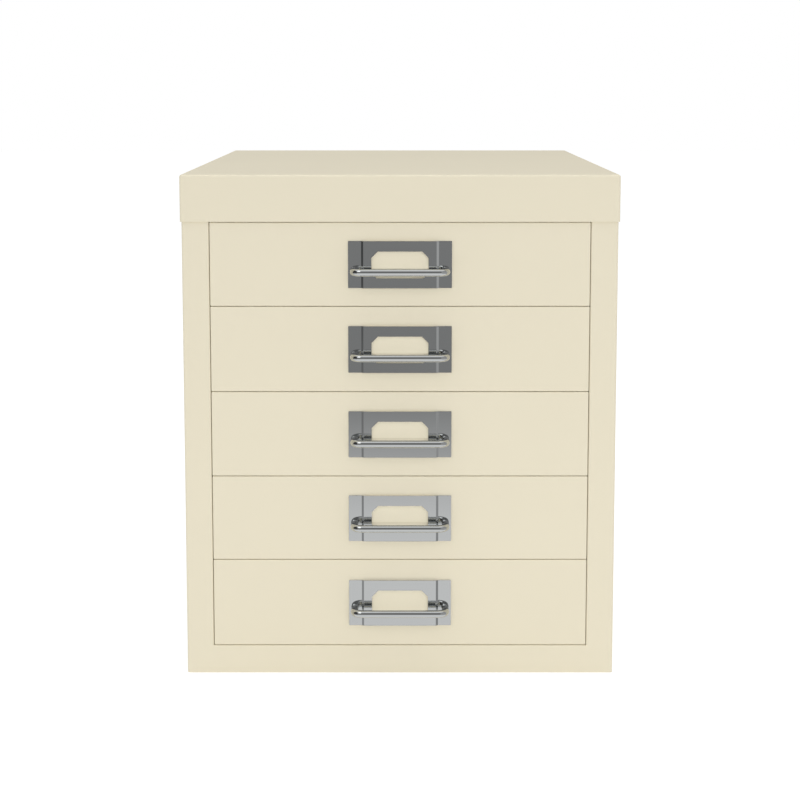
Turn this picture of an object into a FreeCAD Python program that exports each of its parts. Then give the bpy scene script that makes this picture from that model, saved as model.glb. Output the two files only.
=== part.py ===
import FreeCAD, Part
import math
import os

# Desktop cabinet with a stack of shallow drawers, folded from painted sheet steel.
# Millimetres. +Z is up, the drawers open towards -Y, and X runs across the front.
# The origin is the centre of the footprint on the surface that the cabinet stands on.

# Overall sizes, measured over the cap
cabinet_width = 279.0
cabinet_depth = 380.0
cabinet_height = 325.0

# Carcase sheet and its folds
carcase_sheet = 0.9
fold_radius = 0.6
edge_fold_radius = 0.1
cap_flange = 29.9
cap_edge_radius = 1.6
stile_width = 17.35
stile_return = 30.0
back_flange = 14.0
rail_height = 18.4
rail_return = 14.0
base_upturn = 12.0
seat_clearance = 0.3

# Posts behind the stiles that carry the rear ends of the runners
post_flange = 15.0
post_rear_inset = 36.0

# Drawer fronts, numbered from the top
drawer_count = 5
front_gap = 0.35
front_depth = 12.0
front_sheet = 0.9
front_edge_radius = 0.6
top_front_cut = 1.3
bottom_front_extra = 2.0

# Drawer trays
tray_sheet = 0.7
tray_headroom = 7.1
tray_side_space = 9.4
tray_rear_space = 30.0
tray_floor_radius = 1.5
tray_flange_radius = 0.4
tray_lip = 3.7
tray_hem = 8.0
lip_side_clearance = 0.6
lug_width = 3.0
lug_length = 1.0
lug_drop = 2.2

# Runners, one channel on each side of each drawer
runner_sheet = 0.9
runner_radius = 0.4
runner_headroom = 0.4
runner_tray_clearance = 1.3
runner_front_clearance = 0.8
stop_tab_width = 4.0
stop_tab_height = 2.0
drawer_travel = 260.0

# Pressed plate that frames the label and is clamped under the pull
plate_height = 30.0
plate_flange = 8.3
plate_sheet = 0.9
plate_corner_radius = 0.3
panel_width = 46.6
panel_rise = 1.0
panel_slope = 1.4
panel_bend = 0.2
window_width = 36.3
window_top_margin = 6.6
window_height = 17.2
window_top_clip = 4.1
window_bottom_clip = 3.3

# Label cards. Most are drawn up level with the top of the plate, the others stand on its stop.
card_thickness = 0.5
card_side_clearance = 1.4
card_overlap = 0.4
card_back_clearance = 0.3
lowered_cards = [5]

# Wire pull and the screws that hold it from inside the drawer
pull_wire = 4.8
pull_reach = 12.5
pull_bend = 5.0
pull_drop = 4.0
pull_end_inset = 3.7
screw_size = 3.0
screw_hole_clearance = 0.2
thread_clearance = 0.05
screw_engagement = 5.0
screw_end_clearance = 1.0
screw_head_size = 5.6
screw_head_height = 2.0
screw_slot_width = 0.8
screw_slot_depth = 0.9

# Derived planes of the carcase
body_half = cabinet_width / 2 - carcase_sheet
front_y = -cabinet_depth / 2 + carcase_sheet
back_y = cabinet_depth / 2 - carcase_sheet
wall_inner = body_half - carcase_sheet
opening_half = body_half - stile_width
cap_lower_z = cabinet_height - cap_flange
cap_inner_radius = cap_edge_radius - carcase_sheet
carcase_top = cabinet_height - carcase_sheet - cap_inner_radius - seat_clearance

# Derived sizes of the drawers
opening_height = cap_lower_z - rail_height
front_half = opening_half - front_gap
front_height = (
    opening_height - (drawer_count + 1) * front_gap + top_front_cut - bottom_front_extra
) / drawer_count
tray_height = front_height - tray_headroom
tray_half = opening_half - tray_side_space
tray_inner_half = tray_half - tray_sheet
tray_front_y = front_y + front_sheet
tray_rear_y = back_y - tray_rear_space
flange_half = opening_half - runner_sheet - lip_side_clearance
flange_start_y = front_y + front_depth + runner_front_clearance
runner_front_y = flange_start_y
stop_tab_y = tray_rear_y - lug_length - drawer_travel - seat_clearance

# Derived sizes of the plate, the card and the pull, whose feet stand on the plate's flanges
plate_width = panel_width + 2 * (panel_slope + plate_flange)
card_width = panel_width - 2 * card_side_clearance
card_height = window_height + card_overlap
pull_span = plate_width - 2 * pull_end_inset


def vec(x, y, z):
    return FreeCAD.Vector(x, y, z)


def box(x0, x1, y0, y1, z0, z1):
    return Part.makeBox(x1 - x0, y1 - y0, z1 - z0, vec(x0, y0, z0))


def rod(x, y0, y1, z, radius):
    """A round bar along Y."""
    return Part.makeCylinder(radius, y1 - y0, vec(x, y0, z), vec(0, 1, 0))


def mirrored(shape):
    """The same piece for the other side of the cabinet."""
    return shape.mirror(vec(0, 0, 0), vec(1, 0, 0))


def joined(first, *others):
    return first.multiFuse(list(others)).removeSplitter()


def save(name, shape):
    if shape.ShapeType == "Compound" and len(shape.Solids) == 1:
        shape = shape.Solids[0]
    shape.exportStep(f"parts/{name}.step")


def bent_path(points, radii):
    """Straight runs joined by tangent arcs, as pairs of an arc's middle point or None and an end."""
    path = [(None, points[0])]
    for before, corner, after, radius in zip(points, points[1:], points[2:], radii):
        way_in = (corner - before).normalize()
        way_out = (after - corner).normalize()
        turn = way_in.getAngle(way_out)
        reach = radius * math.tan(turn / 2)
        start = corner - way_in * reach
        end = corner + way_out * reach
        inward = (way_out - way_in).normalize()
        middle = corner + inward * (radius / math.cos(turn / 2) - radius)
        path.append((None, start))
        path.append((middle, end))
    path.append((None, points[-1]))
    return path


def path_edges(path):
    edges = []
    for (_, start), (middle, end) in zip(path, path[1:]):
        if middle is None:
            edges.append(Part.LineSegment(start, end).toShape())
        else:
            edges.append(Part.Arc(start, middle, end).toShape())
    return edges


def folded(points, sheet, bends, plane, start, length):
    """Sheet folded along a path of (u, v) points in a plane, lying on the right of the path.

    It starts at start on the plane's third axis and runs on for length. A bend is its inside radius.
    """
    if not isinstance(bends, list):
        bends = [bends] * (len(points) - 2)
    flat = [vec(u, v, 0) for u, v in points]
    ways = [(b - a).normalize() for a, b in zip(flat, flat[1:])]
    rights = [vec(w.y, -w.x, 0) for w in ways]
    offset = [flat[0] + rights[0] * sheet]
    near_radii = []
    far_radii = []
    for corner, before, after, bend in zip(flat[1:], rights, rights[1:], bends):
        offset.append(corner + (before + after) * (sheet / (1 + before.dot(after))))
        turns_right = before.cross(after).z < 0
        near_radii.append(bend + sheet if turns_right else bend)
        far_radii.append(bend if turns_right else bend + sheet)
    offset.append(flat[-1] + rights[-1] * sheet)
    near = path_edges(bent_path(flat, near_radii))
    far = path_edges(bent_path(offset, far_radii))
    first_cap = Part.LineSegment(flat[0], offset[0]).toShape()
    last_cap = Part.LineSegment(flat[-1], offset[-1]).toShape()
    section = Part.Face(Part.Wire(near + [last_cap] + far[::-1] + [first_cap]))
    turn = FreeCAD.Matrix()
    if plane != "XY":
        turn.rotateX(math.pi / 2)
    if plane == "YZ":
        turn.rotateZ(math.pi / 2)
    run = {"XY": vec(0, 0, 1), "XZ": vec(0, 1, 0), "YZ": vec(1, 0, 0)}[plane]
    section = section.transformed(turn)
    section.translate(run * start)
    return section.extrude(run * length)


def edges_of(shape, test):
    return [edge for edge in shape.Edges if test(edge.BoundBox)]


def tray_bottom_z(number):
    return front_bottom_z(number) + front_sheet


def tray_top_z(number):
    return tray_bottom_z(number) + tray_height


def front_size_z(number):
    """Height of one drawer's front: the top one is shorter and the bottom one is taller."""
    height = front_height
    if number == 1:
        height -= top_front_cut
    if number == drawer_count:
        height += bottom_front_extra
    return height


def front_bottom_z(number):
    below = sum(front_size_z(n) + front_gap for n in range(number + 1, drawer_count + 1))
    return rail_height + front_gap + below


def front_centre_z(number):
    return front_bottom_z(number) + front_size_z(number) / 2


# The cap is a shallow pan turned over, which slips over the top of the carcase.
def top_cap():
    half_x = cabinet_width / 2
    half_y = cabinet_depth / 2
    outer = box(-half_x, half_x, -half_y, half_y, cap_lower_z, cabinet_height)
    rounded = edges_of(outer, lambda b: b.ZMin > cap_lower_z or b.ZLength > carcase_sheet)
    outer = outer.makeFillet(cap_edge_radius, rounded)
    in_x = half_x - carcase_sheet
    in_y = half_y - carcase_sheet
    floor_z = cap_lower_z - cap_flange
    inner = box(-in_x, in_x, -in_y, in_y, floor_z, cabinet_height - carcase_sheet)
    rounded = edges_of(inner, lambda b: b.ZMin > floor_z or b.ZLength > carcase_sheet)
    inner = inner.makeFillet(cap_inner_radius, rounded)
    return outer.cut(inner)


# A side wall folds inwards at the front as the stile, with a deep return that carries the runners.
def right_side():
    outline = [
        (body_half - back_flange, back_y),
        (body_half, back_y),
        (body_half, front_y),
        (opening_half, front_y),
        (opening_half, front_y + stile_return),
    ]
    bends = [fold_radius, fold_radius, edge_fold_radius]
    upper = folded(outline, carcase_sheet, bends, "XY", rail_height, carcase_top - rail_height)
    lower = folded(outline[:-1], carcase_sheet, bends, "XY", 0, rail_height)
    return joined(upper, lower)


def back_panel():
    half = wall_inner - fold_radius - seat_clearance
    outer_y = back_y - carcase_sheet
    return box(-half, half, outer_y - carcase_sheet, outer_y, 0, carcase_top)


# The base is a pan whose edges turn up against the sides, the back and the bottom rail.
def base_panel():
    y0 = front_y + carcase_sheet
    y1 = back_y - 2 * carcase_sheet
    outer = box(-wall_inner, wall_inner, y0, y1, 0, base_upturn)
    upright = edges_of(outer, lambda b: b.ZLength > carcase_sheet)
    outer = outer.makeFillet(fold_radius + carcase_sheet, upright)
    in_x = wall_inner - carcase_sheet
    inner = box(
        -in_x, in_x, y0 + carcase_sheet, y1 - carcase_sheet, carcase_sheet, 2 * base_upturn
    )
    upright = edges_of(inner, lambda b: b.ZLength > carcase_sheet)
    inner = inner.makeFillet(fold_radius, upright)
    return outer.cut(inner)


# The bottom rail closes the frame between the stiles and folds back under the lowest drawer.
def bottom_rail():
    outline = [
        (front_y, 0),
        (front_y, rail_height),
        (front_y + rail_return, rail_height),
    ]
    return folded(outline, carcase_sheet, edge_fold_radius, "YZ", -opening_half, 2 * opening_half)


# The top rail ties the stiles together behind the front flange of the cap.
def top_rail():
    outline = [
        (front_y + rail_return, cap_lower_z),
        (front_y, cap_lower_z),
        (front_y, carcase_top),
    ]
    return folded(outline, carcase_sheet, edge_fold_radius, "YZ", -opening_half, 2 * opening_half)


# A rear post stands off the side wall by the width of the stile and holds the runners' rear ends.
def right_rear_post():
    rear_y = back_y - post_rear_inset
    web_y = rear_y - post_flange
    outline = [
        (wall_inner, rear_y),
        (wall_inner, web_y),
        (opening_half, web_y),
        (opening_half, rear_y),
    ]
    bottom = base_upturn + seat_clearance
    return folded(outline, carcase_sheet, fold_radius, "XY", bottom, carcase_top - bottom)


# A runner is a channel that holds the lip of the tray's flange from below and from above.
# Its rear end is turned in as the closed stop, and a tab lanced from its ledge is the open stop.
def right_runner(number):
    top_z = tray_top_z(number) + runner_headroom + runner_sheet
    ledge_z = tray_top_z(number) - tray_lip
    low_z = ledge_z - runner_sheet
    tip = tray_half + runner_tray_clearance
    rear_stop_y = tray_rear_y + seat_clearance
    outline = [(tip, top_z), (opening_half, top_z), (opening_half, low_z), (tip, low_z)]
    length = rear_stop_y - runner_front_y
    channel = folded(outline, runner_sheet, runner_radius, "XZ", runner_front_y, length)
    rear_stop = box(tip, opening_half, rear_stop_y, rear_stop_y + runner_sheet, low_z, top_z)
    tab_mid = (tray_half + flange_half) / 2
    tab_x0 = tab_mid - stop_tab_width / 2
    tab_x1 = tab_mid + stop_tab_width / 2
    tab_z = ledge_z + stop_tab_height
    tab = box(tab_x0, tab_x1, stop_tab_y - runner_sheet, stop_tab_y, low_z, tab_z)
    return joined(channel, rear_stop, tab)


# A drawer front is a shallow pan with its returns turned back between its neighbours.
def drawer_front(number):
    z0 = front_bottom_z(number)
    z1 = z0 + front_size_z(number)
    outer = box(-front_half, front_half, front_y, front_y + front_depth, z0, z1)
    rounded = edges_of(outer, lambda b: b.YMax < front_y + front_sheet or b.YLength > front_sheet)
    outer = outer.makeFillet(front_edge_radius, rounded)
    inner = box(
        -front_half + front_sheet,
        front_half - front_sheet,
        front_y + front_sheet,
        front_y + 2 * front_depth,
        z0 + front_sheet,
        z1 - front_sheet,
    )
    return outer.cut(inner).cut(screw_holes(number))


def screw_places(number):
    z = front_centre_z(number) - pull_drop
    return [(-pull_span / 2, z), (pull_span / 2, z)]


def screw_holes(number):
    """Clearance holes for both screws, through everything that they clamp."""
    radius = screw_size / 2 + screw_hole_clearance
    y0 = front_y - plate_sheet - panel_rise
    y1 = tray_front_y + tray_sheet + front_sheet
    first, second = [rod(x, y0, y1, z, radius) for x, z in screw_places(number)]
    return first.fuse(second)


# A tray is folded up from one sheet, with side flanges whose lips slide in the runners.
def drawer_tray(number):
    z0 = tray_bottom_z(number)
    z1 = tray_top_z(number)
    floor_z = z0 + tray_sheet
    outline = [
        (-flange_half, z1 - tray_lip),
        (-flange_half, z1),
        (-tray_inner_half, z1),
        (-tray_inner_half, floor_z),
        (tray_inner_half, floor_z),
        (tray_inner_half, z1),
        (flange_half, z1),
        (flange_half, z1 - tray_lip),
    ]
    flange = tray_flange_radius
    floor = tray_floor_radius
    bends = [flange, flange, floor, floor, flange, flange]
    length = tray_rear_y - tray_front_y
    body = folded(outline, tray_sheet, bends, "XZ", tray_front_y, length)
    wall_half = tray_inner_half + tray_sheet / 2
    walls = [
        box(-wall_half, wall_half, y, y + tray_sheet, z0 + tray_sheet / 2, z1)
        for y in (tray_front_y, tray_rear_y - tray_sheet)
    ]
    hems = [
        box(-wall_half, wall_half, y, y + tray_sheet, z1 - tray_hem, z1)
        for y in (tray_front_y + tray_sheet, tray_rear_y - 2 * tray_sheet)
    ]
    lug_mid = (tray_half + flange_half) / 2
    lug = box(
        lug_mid - lug_width / 2,
        lug_mid + lug_width / 2,
        tray_rear_y - lug_length,
        tray_rear_y,
        z1 - tray_sheet - lug_drop,
        z1 - tray_sheet / 2,
    )
    tray = joined(body, *walls, *hems, lug, mirrored(lug))
    notch_x = flange_half + front_gap
    notch = box(tray_half, notch_x, tray_front_y - front_sheet, flange_start_y, z0, z1 + tray_lip)
    return tray.cut(notch).cut(mirrored(notch)).cut(screw_holes(number))


def window_bottom_z(centre_z):
    return centre_z + plate_height / 2 - window_top_margin - window_height


def window(centre_z):
    """The opening in the plate, with its corners cut off at 45 degrees."""
    half = window_width / 2
    bottom = window_bottom_z(centre_z)
    top = bottom + window_height
    outline = [
        (-half + window_bottom_clip, bottom),
        (half - window_bottom_clip, bottom),
        (half, bottom + window_bottom_clip),
        (half, top - window_top_clip),
        (half - window_top_clip, top),
        (-half + window_top_clip, top),
        (-half, top - window_top_clip),
        (-half, bottom + window_bottom_clip),
    ]
    start_y = front_y - panel_rise - 2 * plate_sheet
    corners = [vec(x, start_y, z) for x, z in outline + outline[:1]]
    return Part.Face(Part.makePolygon(corners)).extrude(vec(0, 2 * plate_sheet + panel_rise / 2, 0))


def card_stop(centre_z):
    """The lower edge of the window, turned back against the front for a card to stand on."""
    half = window_width / 2 - window_bottom_clip
    top = window_bottom_z(centre_z)
    y0 = front_y - panel_rise - plate_sheet / 2
    return box(-half, half, y0, front_y, top - plate_sheet, top)


# The plate is pressed from one sheet: two flanges lie on the front, and its panel stands proud
# of them so that a card slides in behind it from above.
def handle_plate(number):
    centre_z = front_centre_z(number)
    z0 = centre_z - plate_height / 2
    half = plate_width / 2
    panel_half = panel_width / 2
    low_y = front_y - plate_sheet
    high_y = low_y - panel_rise
    outline = [
        (half, low_y),
        (panel_half + panel_slope, low_y),
        (panel_half, high_y),
        (-panel_half, high_y),
        (-panel_half - panel_slope, low_y),
        (-half, low_y),
    ]
    plate = folded(outline, plate_sheet, panel_bend, "XY", z0, plate_height)
    corners = edges_of(plate, lambda b: abs(b.Center.x) > half - panel_bend and b.ZLength < panel_bend)
    plate = plate.makeFillet(plate_corner_radius, corners)
    plate = plate.cut(window(centre_z)).cut(screw_holes(number))
    return joined(plate, card_stop(centre_z))


def label_card(number):
    half = card_width / 2
    back = front_y - card_back_clearance
    centre_z = front_centre_z(number)
    if number in lowered_cards:
        z0 = window_bottom_z(centre_z)
    else:
        z0 = centre_z + plate_height / 2 - card_height
    return box(-half, half, back - card_thickness, back, z0, z0 + card_height)


# The pull is one length of wire, bent back at both ends and tapped there for the screws.
def handle_pull(number):
    (left_x, z), (right_x, _) = screw_places(number)
    foot_y = front_y - plate_sheet
    bar_y = front_y - pull_reach
    route = [vec(left_x, foot_y, z), vec(left_x, bar_y, z), vec(right_x, bar_y, z), vec(right_x, foot_y, z)]
    line = Part.Wire(path_edges(bent_path(route, [pull_bend, pull_bend])))
    ring = Part.Wire(Part.makeCircle(pull_wire / 2, route[0], vec(0, 1, 0)))
    pull = line.makePipeShell([ring], True, False)
    radius = screw_size / 2 + thread_clearance
    depth = screw_engagement + screw_end_clearance
    for x in (left_x, right_x):
        pull = pull.cut(rod(x, foot_y - depth, foot_y, z, radius))
    return pull


# Two slotted screws enter from inside the tray and pull the plate and the wire against the front.
def handle_screws(number):
    seat_y = tray_front_y + tray_sheet
    head_y = seat_y + screw_head_height
    tip_y = front_y - plate_sheet - screw_engagement
    head_radius = screw_head_size / 2
    screws = []
    for x, z in screw_places(number):
        shank = rod(x, tip_y, seat_y, z, screw_size / 2)
        head = rod(x, seat_y, head_y, z, head_radius)
        slot_z = z - screw_slot_width / 2
        slot = box(
            x - screw_head_size,
            x + screw_head_size,
            head_y - screw_slot_depth,
            head_y + screw_slot_depth,
            slot_z,
            slot_z + screw_slot_width,
        )
        screws.append(joined(shank, head).cut(slot))
    return Part.makeCompound(screws)


def build():
    os.makedirs("parts", exist_ok=True)
    save("top_cap", top_cap())
    save("back_panel", back_panel())
    save("base_panel", base_panel())
    save("bottom_rail", bottom_rail())
    save("top_rail", top_rail())
    pairs = {"side": right_side(), "rear_post": right_rear_post()}
    for number in range(1, drawer_count + 1):
        pairs[f"runner_{number}"] = right_runner(number)
    for name, shape in pairs.items():
        save(f"right_{name}", shape)
        save(f"left_{name}", mirrored(shape))
    for number in range(1, drawer_count + 1):
        save(f"drawer_front_{number}", drawer_front(number))
        save(f"drawer_tray_{number}", drawer_tray(number))
        save(f"handle_plate_{number}", handle_plate(number))
        save(f"handle_pull_{number}", handle_pull(number))
        save(f"label_card_{number}", label_card(number))
        save(f"handle_screws_{number}", handle_screws(number))


build()
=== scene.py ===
import math

import bmesh
import bpy
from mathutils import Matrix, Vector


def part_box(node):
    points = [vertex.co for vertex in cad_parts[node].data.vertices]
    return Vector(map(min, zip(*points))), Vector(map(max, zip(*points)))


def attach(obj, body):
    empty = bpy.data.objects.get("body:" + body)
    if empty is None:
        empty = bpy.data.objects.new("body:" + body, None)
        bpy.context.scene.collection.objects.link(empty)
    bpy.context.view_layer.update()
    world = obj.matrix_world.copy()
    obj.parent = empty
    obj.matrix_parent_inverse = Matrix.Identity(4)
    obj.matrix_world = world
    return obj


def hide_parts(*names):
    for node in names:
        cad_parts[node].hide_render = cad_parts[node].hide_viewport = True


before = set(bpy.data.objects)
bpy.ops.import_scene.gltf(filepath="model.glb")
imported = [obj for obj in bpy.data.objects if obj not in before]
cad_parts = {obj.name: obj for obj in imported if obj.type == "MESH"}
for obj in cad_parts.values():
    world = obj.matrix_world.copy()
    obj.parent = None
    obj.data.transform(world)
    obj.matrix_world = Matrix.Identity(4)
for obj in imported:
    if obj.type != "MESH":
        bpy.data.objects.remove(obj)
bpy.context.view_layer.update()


# Side walls, folded inwards at the front as the stiles and at the back as narrow flanges.
# Thin cold rolled steel, spot welded to the other panels and powder coated satin cream
# with them in one go after welding.

coat_cloud_size = 0.11
coat_cloud_roughness = 0.06
coat_roughness = 0.5
coat_shine = 0.25
peel_size = 0.0014
peel_detail = 1.0
peel_strength = 0.25
peel_height = 0.00003


class Socket:
    """A link in a shader tree. Arithmetic on it adds Math nodes, and node() adds any other."""

    def __init__(self, tree, link=None):
        self.tree = tree
        self.link = link

    def node(self, kind, settings=None, inputs=None, output=0):
        """Adds a node: its settings first, then the values or links of its sockets."""
        made = self.tree.nodes.new("ShaderNode" + kind)
        for name, value in (settings or {}).items():
            if name == "stops":
                ramp = made.color_ramp.elements
                while len(ramp) < len(value):
                    ramp.new(1.0)
                for element, (place, shade) in zip(ramp, value):
                    element.position = place
                    element.color = (shade, shade, shade, 1.0)
            else:
                setattr(made, name, value)
        for name, value in (inputs or {}).items():
            if isinstance(value, Socket):
                self.tree.links.new(value.link, made.inputs[name])
            else:
                made.inputs[name].default_value = value
        return Socket(self.tree, made.outputs[output] if made.outputs else None)

    def math(self, operation, first, second):
        return self.node("Math", {"operation": operation}, {0: first, 1: second})

    def __add__(self, other):
        return self.math("ADD", self, other)

    def __radd__(self, other):
        return self.math("ADD", other, self)

    def __sub__(self, other):
        return self.math("SUBTRACT", self, other)

    def __rsub__(self, other):
        return self.math("SUBTRACT", other, self)

    def __mul__(self, other):
        return self.math("MULTIPLY", self, other)

    def __rmul__(self, other):
        return self.math("MULTIPLY", other, self)


def linear(red, green, blue):
    """A colour read in 0 to 255 as the eye sees it, as the four numbers that a node takes."""
    parts = []
    for value in (red, green, blue):
        share = value / 255
        parts.append(share / 12.92 if share <= 0.04045 else ((share + 0.055) / 1.055) ** 2.4)
    return (*parts, 1.0)


def new_material(name):
    """An empty material and the start of its shader tree."""
    material = bpy.data.materials.new(name)
    material.use_nodes = True
    material.node_tree.nodes.clear()
    return material, Socket(material.node_tree)


def own_metres(start):
    """Places on the piece, in metres in the cabinet's own frame."""
    return start.node("TexCoord", output="Object")


def clouds(place, size, detail=2.0, stretch=(1.0, 1.0, 1.0)):
    """Cloudy values between 0 and 1, with clouds of about the given size in metres."""
    spread = place.node("VectorMath", {"operation": "MULTIPLY"}, {0: place, 1: stretch})
    scale = 1.0 / size
    return place.node("TexNoise", inputs={"Vector": spread, "Scale": scale, "Detail": detail})


def between(mask, low, high):
    """A colour that runs from low to high with the mask, on a Mix node's colour sockets."""
    sockets = {0: mask, 6: linear(*low), 7: linear(*high)}
    return mask.node("Mix", {"data_type": "RGBA"}, sockets, output=2)


def relief(mask, strength, height):
    """Fine bumps that follow the mask, of about the given height in metres."""
    sizes = {"Strength": strength, "Distance": height, "Height": mask}
    return mask.node("Bump", inputs=sizes)


def surface(start, inputs):
    """Ends a tree in one shader with the given finish."""
    shader = start.node("BsdfPrincipled", inputs=inputs)
    start.node("OutputMaterial", inputs={"Surface": shader})


def powder_coat(name, thick, thin):
    """Satin powder coat: an even colour with a faint cloud, and a fine orange peel."""
    material, start = new_material(name)
    place = own_metres(start)
    cloud = clouds(place, coat_cloud_size)
    peel = clouds(place, peel_size, peel_detail)
    surface(
        start,
        {
            "Base Color": between(cloud, thin, thick),
            "Roughness": cloud * coat_cloud_roughness + coat_roughness,
            "Specular IOR Level": coat_shine,
            "Normal": relief(peel, peel_strength, peel_height),
        },
    )
    return material


def finish_nodes(material, *names):
    """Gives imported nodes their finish."""
    for name in names:
        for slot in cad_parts[name].material_slots:
            slot.material = material


cream = powder_coat("cream_powder_coat", thick=(233, 225, 202), thin=(231, 223, 200))
finish_nodes(cream, "left_side", "right_side")


# Back panel, base pan and bottom rail, which close the box between the side walls. They are
# cut and folded from the same sheet, spot welded at their edges and coated with the walls.

finish_nodes(cream, "back_panel", "base_panel", "bottom_rail")


# Top rail and rear posts, hidden once the cap is on. The rail ties the stiles together and
# the posts stand inside the walls to carry the rear ends of the runners.

finish_nodes(cream, "top_rail", "left_rear_post", "right_rear_post")


# Weld marks on the rear flanges. Each spot weld leaves a shallow dished ring in the sheet,
# which stays just visible under the powder coat.

weld_count = 6
weld_lowest = 0.022
weld_highest = 0.278
weld_inset = 0.0075
weld_around = 24
weld_profile = [
    (0.0009, 0.00002),
    (0.0019, 0.00003),
    (0.0024, 0.00012),
    (0.0028, 0.00008),
    (0.0032, 0.0),
]


def weld_ring(mesh, x, y, z):
    """One dished mark that lies on the face at y and looks towards +Y."""
    turns = [2 * math.pi * k / weld_around for k in range(weld_around)]
    centre = mesh.verts.new((x, y + weld_profile[0][1], z))
    rings = []
    for radius, lift in weld_profile:
        ring = []
        for turn in turns:
            across = radius * math.sin(turn)
            up = radius * math.cos(turn)
            ring.append(mesh.verts.new((x + across, y + lift, z + up)))
        rings.append(ring)
    for k in range(weld_around):
        after = (k + 1) % weld_around
        mesh.faces.new((centre, rings[0][k], rings[0][after]))
        for inner, outer in zip(rings, rings[1:]):
            mesh.faces.new((inner[k], outer[k], outer[after], inner[after]))


def placed(name, mesh, material, smooth=True):
    """Turns finished bmesh work into an object with its material."""
    data = bpy.data.meshes.new(name)
    for face in mesh.faces:
        face.smooth = smooth
    mesh.to_mesh(data)
    mesh.free()
    data.materials.append(material)
    piece = bpy.data.objects.new(name, data)
    bpy.context.scene.collection.objects.link(piece)
    return piece


for side, inward in (("left", 1), ("right", -1)):
    low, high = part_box(f"{side}_side")
    outer_x = low[0] if side == "left" else high[0]
    work = bmesh.new()
    for k in range(weld_count):
        z = weld_lowest + (weld_highest - weld_lowest) * k / (weld_count - 1)
        weld_ring(work, outer_x + inward * weld_inset, high[1], z)
    marks = placed(f"{side}_weld_marks", work, cream)
    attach(marks, "carcase")


# Cap, a shallow pan pressed with soft corners. It slips over the top of the box, stands proud
# of it by its own thickness all round, and carries the same coat.

finish_nodes(cream, "top_cap")


# Runners, one channel on each side of each drawer. They are roll formed from zinc plated
# strip, whose drawn lines stay visible, and spot welded to the stiles and the rear posts.

drawers = range(1, 6)
zinc_cloud_size = 0.017
zinc_dark_share = 0.93
zinc_roughness = 0.3
zinc_line_roughness = 0.12
zinc_line_spread = 1.0
zinc_line_detail = 3.0
zinc_line_strength = 0.3
zinc_line_height = 0.00003


def darker(colour, share):
    return [share * part for part in colour]


def zinc_plate(name, colour, lines_per_metre):
    """Dull silver zinc plate, with its drawn or rolled lines counted along X, Y and Z."""
    material, start = new_material(name)
    place = own_metres(start)
    lines = clouds(place, zinc_line_spread, zinc_line_detail, lines_per_metre)
    cloud = clouds(place, zinc_cloud_size)
    surface(
        start,
        {
            "Base Color": between(cloud, darker(colour, zinc_dark_share), colour),
            "Metallic": 1.0,
            "Roughness": lines * zinc_line_roughness + zinc_roughness,
            "Normal": relief(lines, zinc_line_strength, zinc_line_height),
        },
    )
    return material


strip = zinc_plate("zinc_plated_strip", (196, 198, 200), lines_per_metre=(1500.0, 30.0, 1500.0))
for number in drawers:
    finish_nodes(strip, f"left_runner_{number}", f"right_runner_{number}")


# Drawer trays, folded up from one thinner sheet with hemmed ends and side flanges whose lips
# slide in the runners. Their coat is the cabinet's cream made a little darker, as painted shade
# for the inside of the cabinet.

shaded_tray_coat = powder_coat("tray_coat_painted_shade", thick=(231, 223, 200), thin=(228, 220, 196))
for number in drawers:
    finish_nodes(shaded_tray_coat, f"drawer_tray_{number}")


# Drawer fronts, pans of the thicker sheet with rounded edges, spot welded to the trays from
# inside and coated with the rest of the cabinet.

for number in drawers:
    finish_nodes(cream, f"drawer_front_{number}")


# Label plates, pressed from thin steel, polished and chromed. The raised middle holds a card
# behind a window with clipped corners, and the flanges at its sides lie under the pull.

polish_cloud_size = 0.025
polish_cloud_roughness = 0.03
polish_dark_share = 0.99


def chrome(name, colour, roughness):
    """Bright chrome plate with the faint cloud that polishing leaves."""
    material, start = new_material(name)
    cloud = clouds(own_metres(start), polish_cloud_size)
    surface(
        start,
        {
            "Base Color": between(cloud, darker(colour, polish_dark_share), colour),
            "Metallic": 1.0,
            "Roughness": cloud * polish_cloud_roughness + roughness,
        },
    )
    return material


plate_chrome = chrome("plate_chrome", (190, 192, 192), roughness=0.04)
for number in drawers:
    finish_nodes(plate_chrome, f"handle_plate_{number}")


# Label cards, plain cream board cut to slide in behind the plate's panel from above, where
# they are held by their own spring.

fibre_size = 0.0006
fibre_detail = 3.0
fibre_stretch = (1.0, 1.0, 0.4)
fibre_strength = 0.3
fibre_height = 0.00002
fibre_dark_share = 0.985
board_roughness = 0.8


def card_board(name, colour):
    """Uncoated board with a fine fibre."""
    material, start = new_material(name)
    fibre = clouds(own_metres(start), fibre_size, fibre_detail, fibre_stretch)
    surface(
        start,
        {
            "Base Color": between(fibre, darker(colour, fibre_dark_share), colour),
            "Roughness": board_roughness,
            "Normal": relief(fibre, fibre_strength, fibre_height),
        },
    )
    return material


card = card_board("label_board", (242, 234, 210))
for number in drawers:
    finish_nodes(card, f"label_card_{number}")


# Wire pulls, each one length of round steel wire bent back at both ends, polished and
# chromed. Its ends are cut square and stand on the plate's flanges, tapped for the screws.

pull_bend = 0.005
pull_edge_break = 0.0002
bend_steps = 16
wire_around = 32


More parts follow.
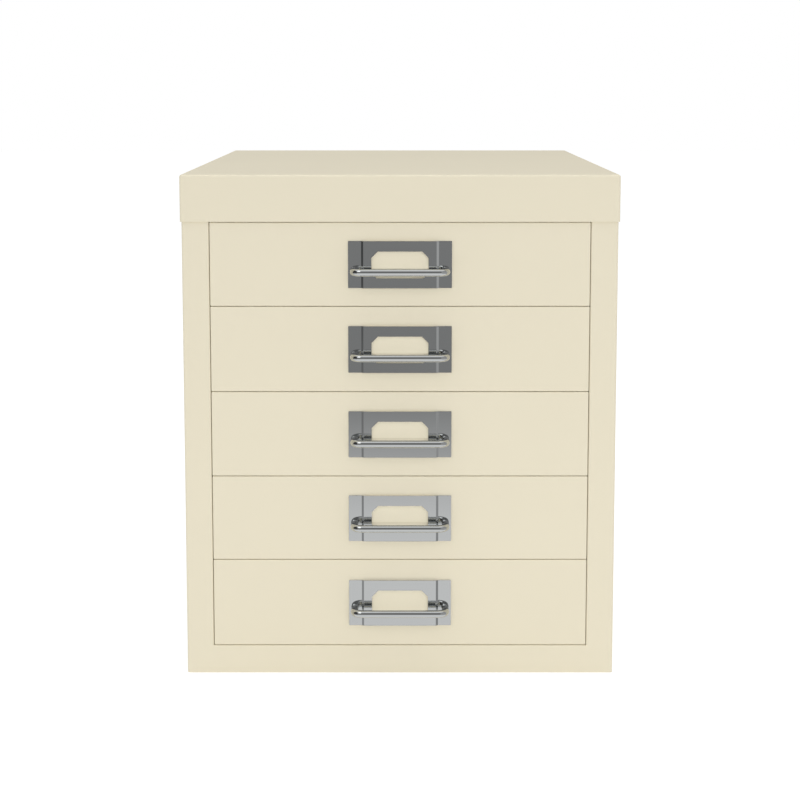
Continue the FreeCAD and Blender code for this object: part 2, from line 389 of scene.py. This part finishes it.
def bent_wire(mesh, foot_y, bar_y, half_span, z, radius):
    """Sweeps a round wire from one foot along the bar to the other, and returns its two ends."""
    quarter = math.pi / 2
    edge_y = foot_y - pull_edge_break
    line = [
        (-half_span, foot_y, 2 * quarter, -pull_edge_break),
        (-half_span, edge_y, 2 * quarter, 0),
    ]
    for side, quarters_done in ((-1, 2), (1, 3)):
        for k in range(bend_steps + 1):
            turn = (quarters_done + k / bend_steps) * quarter
            x = side * (half_span - pull_bend) + pull_bend * math.cos(turn)
            y = bar_y + pull_bend + pull_bend * math.sin(turn)
            line.append((x, y, turn, 0))
    line += [
        (half_span, edge_y, 4 * quarter, 0),
        (half_span, foot_y, 4 * quarter, -pull_edge_break),
    ]
    rings = []
    for x, y, turn, grow in line:
        ring = []
        for k in range(wire_around):
            round_wire = 2 * math.pi * k / wire_around
            out = (radius + grow) * math.cos(round_wire)
            up = (radius + grow) * math.sin(round_wire)
            corner = (x + out * math.cos(turn), y + out * math.sin(turn), z + up)
            ring.append(mesh.verts.new(corner))
        rings.append(ring)
    for first, second in zip(rings, rings[1:]):
        for k in range(wire_around):
            after = (k + 1) % wire_around
            mesh.faces.new((first[k], first[after], second[after], second[k]))
    return [mesh.faces.new(rings[0][::-1]), mesh.faces.new(rings[-1])]


wire_chrome = chrome("wire_chrome", (191, 193, 193), roughness=0.03)
for number in drawers:
    low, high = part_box(f"handle_pull_{number}")
    wire_radius = (high[2] - low[2]) / 2
    bar_y = low[1] + wire_radius
    half_span = high[0] - wire_radius
    work = bmesh.new()
    ends = bent_wire(work, high[1], bar_y, half_span, low[2] + wire_radius, wire_radius)
    for end in ends:
        for edge in end.edges:
            edge.smooth = False
    bmesh.ops.recalc_face_normals(work, faces=work.faces)
    pull = placed(f"wire_pull_{number}", work, wire_chrome)
    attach(pull, f"drawer_{number}")
    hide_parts(f"handle_pull_{number}")


# Screws, slotted cheese heads in zinc plated steel, two to a pull. They enter from inside the
# tray and draw the pull and the plate against the front.

screw_zinc = zinc_plate(
    "zinc_plated_screws", (205, 206, 206), lines_per_metre=(900.0, 900.0, 900.0)
)
for number in drawers:
    finish_nodes(screw_zinc, f"handle_screws_{number}")


# Studio floor, a plain white sheet. The camera sees it as white as the backdrop, with the
# cabinet's own shadow on it.

floor_half = 8.0
floor_lit = (0.9, 0.9, 0.9, 1.0)
floor_shown = (0.6, 0.6, 0.6, 1.0)
floor_glow = 0.6
white = (1.0, 1.0, 1.0, 1.0)


def ray_kind(start):
    """1 for rays from the camera, from gloss and through glass, 0 for rays that only light."""
    camera_ray = start.node("LightPath", output="Is Camera Ray")
    glossy_ray = start.node("LightPath", output="Is Glossy Ray")
    through_ray = start.node("LightPath", output="Is Transmission Ray")
    return start.math("MINIMUM", camera_ray + glossy_ray + through_ray, 1.0)


work = bmesh.new()
corners = [
    (-floor_half, -floor_half),
    (floor_half, -floor_half),
    (floor_half, floor_half),
    (-floor_half, floor_half),
]
work.faces.new([work.verts.new((x, y, 0.0)) for x, y in corners])
floor_white, start = new_material("white_floor")
lit = start.node("BsdfDiffuse", inputs={"Color": floor_lit})
shadowed = start.node("BsdfDiffuse", inputs={"Color": floor_shown})
glow = start.node("Emission", inputs={"Color": white, "Strength": floor_glow})
shown = start.node("AddShader", inputs={0: shadowed, 1: glow})
mixed = start.node("MixShader", inputs={0: ray_kind(start), 1: lit, 2: shown})
start.node("OutputMaterial", inputs={"Surface": mixed})
floor = placed("studio_floor", work, floor_white, smooth=False)
floor.visible_glossy = False


# White surround, which lights everything softly. The camera and the polished pieces see it
# pure white, and the rest of its light is a little weaker.

room_light = 0.72
world = bpy.data.worlds.new("studio_surround")
bpy.context.scene.world = world
world.use_nodes = True
world.node_tree.nodes.clear()
start = Socket(world.node_tree)
strength = ray_kind(start) * (1.0 - room_light) + room_light
glow = start.node("Background", inputs={"Color": white, "Strength": strength})
start.node("OutputWorld", inputs={"Surface": glow})


# Dark drapes hung far out round the set, which only the polished pieces mirror. A mirror sees
# a shade by its direction: how far to the right of the front, and how far above the horizon.
# They are paler low down in front, open at the top, and hold one bright softbox at the left.

drape_radius = 40.0
drape_foot = -24.0
drape_head = 66.0
drape_around = 96
drape_rows = 24
shades_above = [
    (-180, 0.3),
    (-120, 0.3),
    (-100, 0.08),
    (-50, 0.08),
    (-44, 0.3),
    (-20, 0.3),
    (-14, 0.32),
    (27, 0.32),
    (33, 0.6),
    (110, 0.6),
    (130, 0.3),
    (180, 0.3),
]
shades_below = [
    (-180, 0.6),
    (-100, 0.44),
    (-50, 0.44),
    (-40, 0.95),
    (30, 0.95),
    (40, 0.38),
    (110, 0.38),
    (180, 0.6),
]
front_edge = (-14.8, -9.2)
side_edge = (-17.0, -4.0)
front_half = (38.0, 46.0)
dimmed_from = (-4.0, 8.0)
dimmed_share = 0.25
open_top = (43.0, 56.0)
softbox_left = (-58.0, -52.0)
softbox_right = (-20.0, -13.0)
softbox_bottom = (27.0, 37.0)
softbox_top = (58.0, 65.0)
softbox_extra = 1.6


def step_up(value, low, high):
    """Runs smoothly from 0 at low to 1 at high."""
    return value.node(
        "MapRange",
        {"interpolation_type": "SMOOTHSTEP"},
        {"Value": value, "From Min": low, "From Max": high, "To Min": 0.0, "To Max": 1.0},
    )


def climb(up, angles):
    """Runs smoothly from 0 to 1 between two angles above the horizon, in degrees."""
    low, high = [math.sin(math.radians(angle)) for angle in angles]
    return step_up(up, low, high)


def ring_of_shades(way_round, shades):
    """The shade at each way round the set, from pairs of degrees and brightness."""
    stops = [((angle + 180) / 360, shade) for angle, shade in shades]
    return way_round.node("ValToRGB", {"stops": stops}, {"Fac": way_round})


work = bmesh.new()
rows = []
for step in range(drape_rows + 1):
    angle = drape_foot + (drape_head - drape_foot) * step / drape_rows
    height = drape_radius * math.tan(math.radians(angle))
    row = []
    for k in range(drape_around):
        turn = 2 * math.pi * k / drape_around
        spot = (drape_radius * math.sin(turn), -drape_radius * math.cos(turn), height)
        row.append(work.verts.new(spot))
    rows.append(row)
for lower, upper in zip(rows, rows[1:]):
    for k in range(drape_around):
        after = (k + 1) % drape_around
        work.faces.new((lower[k], lower[after], upper[after], upper[k]))
drape_cloth, start = new_material("dark_drapes")
drape_cloth.cycles.emission_sampling = "NONE"
direction = start.node("VectorMath", {"operation": "NORMALIZE"}, {0: own_metres(start)})
right = start.node("SeparateXYZ", inputs={0: direction}, output="X")
back = start.node("SeparateXYZ", inputs={0: direction}, output="Y")
up = start.node("SeparateXYZ", inputs={0: direction}, output="Z")
from_front = start.math("ARCTAN2", right, 0.0 - back) * math.degrees(1.0)
way_round = (from_front + 180.0) * (1 / 360)
below = ring_of_shades(way_round, shades_below)
above = ring_of_shades(way_round, shades_above) * (1.0 - dimmed_share * climb(up, dimmed_from))
in_front = 1.0 - step_up(start.math("ABSOLUTE", from_front, 0.0), *front_half)
at_side = climb(up, side_edge)
horizon = at_side + in_front * (climb(up, front_edge) - at_side)
drape = below + horizon * (above - below)
softbox_across = step_up(from_front, *softbox_left) * (1.0 - step_up(from_front, *softbox_right))
softbox = softbox_across * climb(up, softbox_bottom) * (1.0 - climb(up, softbox_top))
seen = drape + climb(up, open_top) * (1.0 - drape) + softbox * softbox_extra
glow = start.node("Emission", inputs={"Color": seen, "Strength": 1.0})
start.node("OutputMaterial", inputs={"Surface": glow})
drapes = placed("dark_drapes", work, drape_cloth)
drapes.visible_camera = False
drapes.visible_diffuse = False
drapes.visible_transmission = False
drapes.visible_shadow = False


# Lamps, two broad softboxes. One hangs over the cabinet and lights its top and the floor, which
# throws light back on the lower drawers. The other stands behind and above the camera with a
# grid, aimed low at the drawer fronts.


def softbox_lamp(name, place, tilt, turn, size, power, spread):
    """A soft area lamp. Its tilt and turn are 0 when it faces straight down."""
    data = bpy.data.lights.new(name, "AREA")
    data.shape = "RECTANGLE"
    data.size, data.size_y = size
    data.energy = power
    data.spread = math.radians(spread)
    lamp = bpy.data.objects.new(name, data)
    lamp.location = place
    lamp.rotation_euler = (math.radians(tilt), 0.0, math.radians(turn))
    lamp.visible_glossy = False
    bpy.context.scene.collection.objects.link(lamp)


softbox_lamp(
    "top_softbox",
    place=(0.0, -0.5, 2.2),
    tilt=0,
    turn=0,
    size=(2.0, 1.6),
    power=10.4,
    spread=180,
)
softbox_lamp(
    "front_softbox",
    place=(0.3, -2.6, 0.9),
    tilt=67,
    turn=6,
    size=(1.4, 0.6),
    power=1.45,
    spread=50,
)


# Camera, a little above the cap and close enough that the top narrows towards the back. It
# looks down a little, and a small shift of the lens keeps the cabinet in the frame.

look_down = 6.97
camera_data = bpy.data.cameras.new("camera")
camera_data.sensor_width = 36.0
camera_data.lens = 80.4
camera_data.shift_y = -0.13
camera = bpy.data.objects.new("camera", camera_data)
camera.location = (0.0, -1.318, 0.3858)
camera.rotation_euler = (math.radians(90 - look_down), 0.0, 0.0)
bpy.context.scene.collection.objects.link(camera)
bpy.context.scene.camera = camera
bpy.context.scene.view_settings.view_transform = "Standard"
